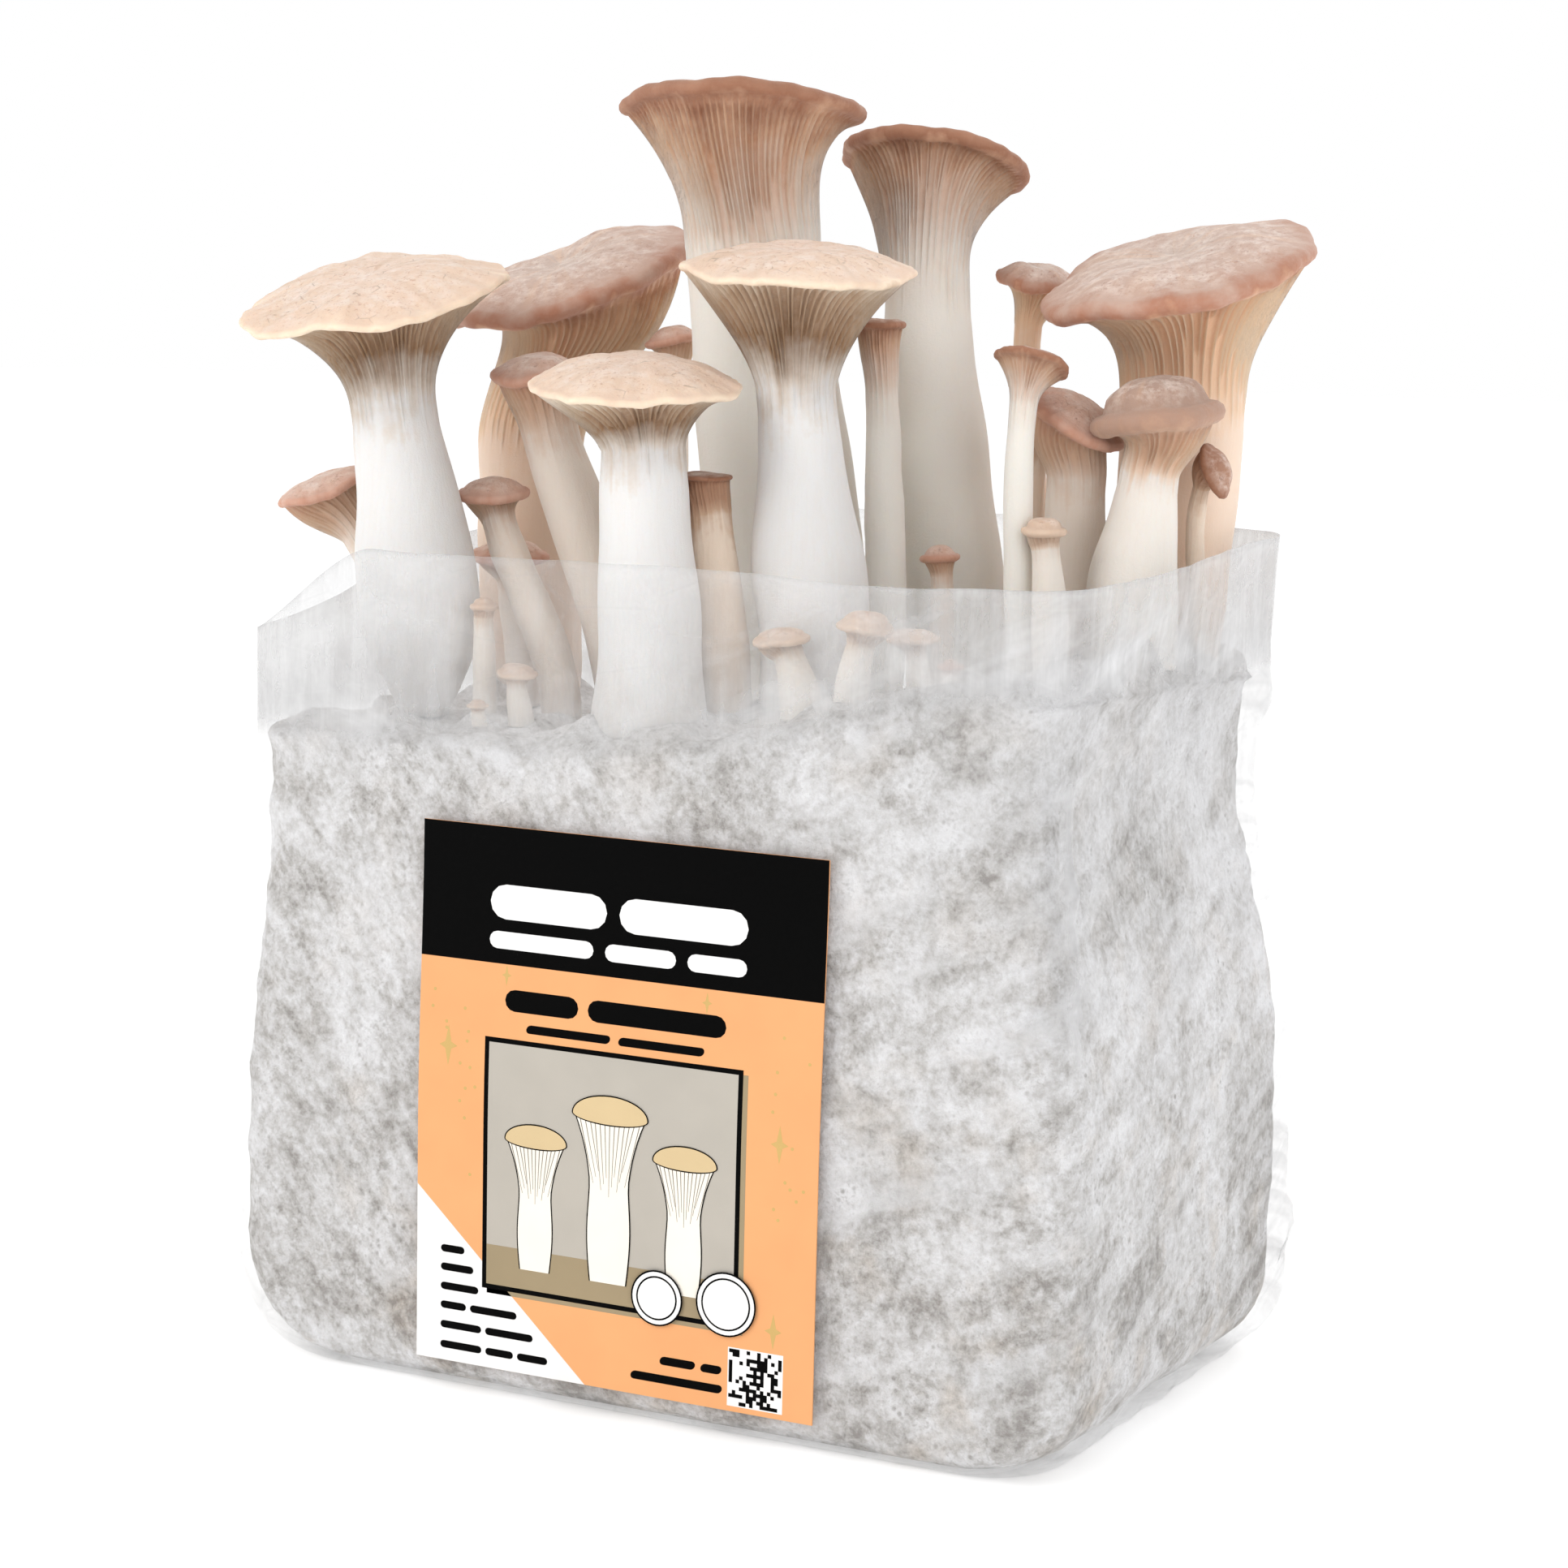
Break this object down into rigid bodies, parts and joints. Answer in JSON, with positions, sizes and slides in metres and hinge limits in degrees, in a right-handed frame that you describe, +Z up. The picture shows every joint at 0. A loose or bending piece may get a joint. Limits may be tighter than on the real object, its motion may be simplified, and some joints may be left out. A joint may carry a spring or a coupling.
{
  "type": "oyster mushroom grow bag",
  "caption": "Clear film bag, cut open at the top, holding a white mycelium-covered sawdust block with king trumpet oyster mushrooms growing out of it and a printed label on its front.",
  "frame": {"origin": "middle of the base, on the surface that the bag stands on", "axes": "+X to the right along the labelled front, +Y from the front to the back, +Z up; the labelled front faces -Y"},
  "size_m": [0.2309, 0.1357, 0.2895],
  "materials": {
    "substrate": "matte",
    "film": "gloss",
    "label": "satin",
    "mushroom": "matte"
  },
  "bodies": {
    "root": {"bun_front_right": "mushroom", "button_flat": "mushroom", "button_front_a": "mushroom", "button_front_b": "mushroom", "button_middle": "mushroom", "button_right": "mushroom", "cap_behind_bun": "mushroom", "cap_between_left": "mushroom", "cap_leaning_left": "mushroom", "cap_low_left": "mushroom", "cap_slim_back": "mushroom", "grow_bag": "film", "label": "label", "pin_front_left": "mushroom", "pin_front_low": "mushroom", "pin_left": "mushroom", "pin_right": "mushroom", "substrate_block": "substrate", "trumpet_back_left": "mushroom", "trumpet_back_right": "mushroom", "trumpet_behind_front": "mushroom", "trumpet_centre": "mushroom", "trumpet_far_back": "mushroom", "trumpet_far_right": "mushroom", "trumpet_front_centre": "mushroom", "trumpet_front_left": "mushroom", "trumpet_hidden_centre": "mushroom", "trumpet_left_edge": "mushroom", "trumpet_slim_right": "mushroom", "trumpet_straight": "mushroom", "trumpet_tallest": "mushroom", "trumpet_tilted_right": "mushroom"}
  },
  "joints": []
}
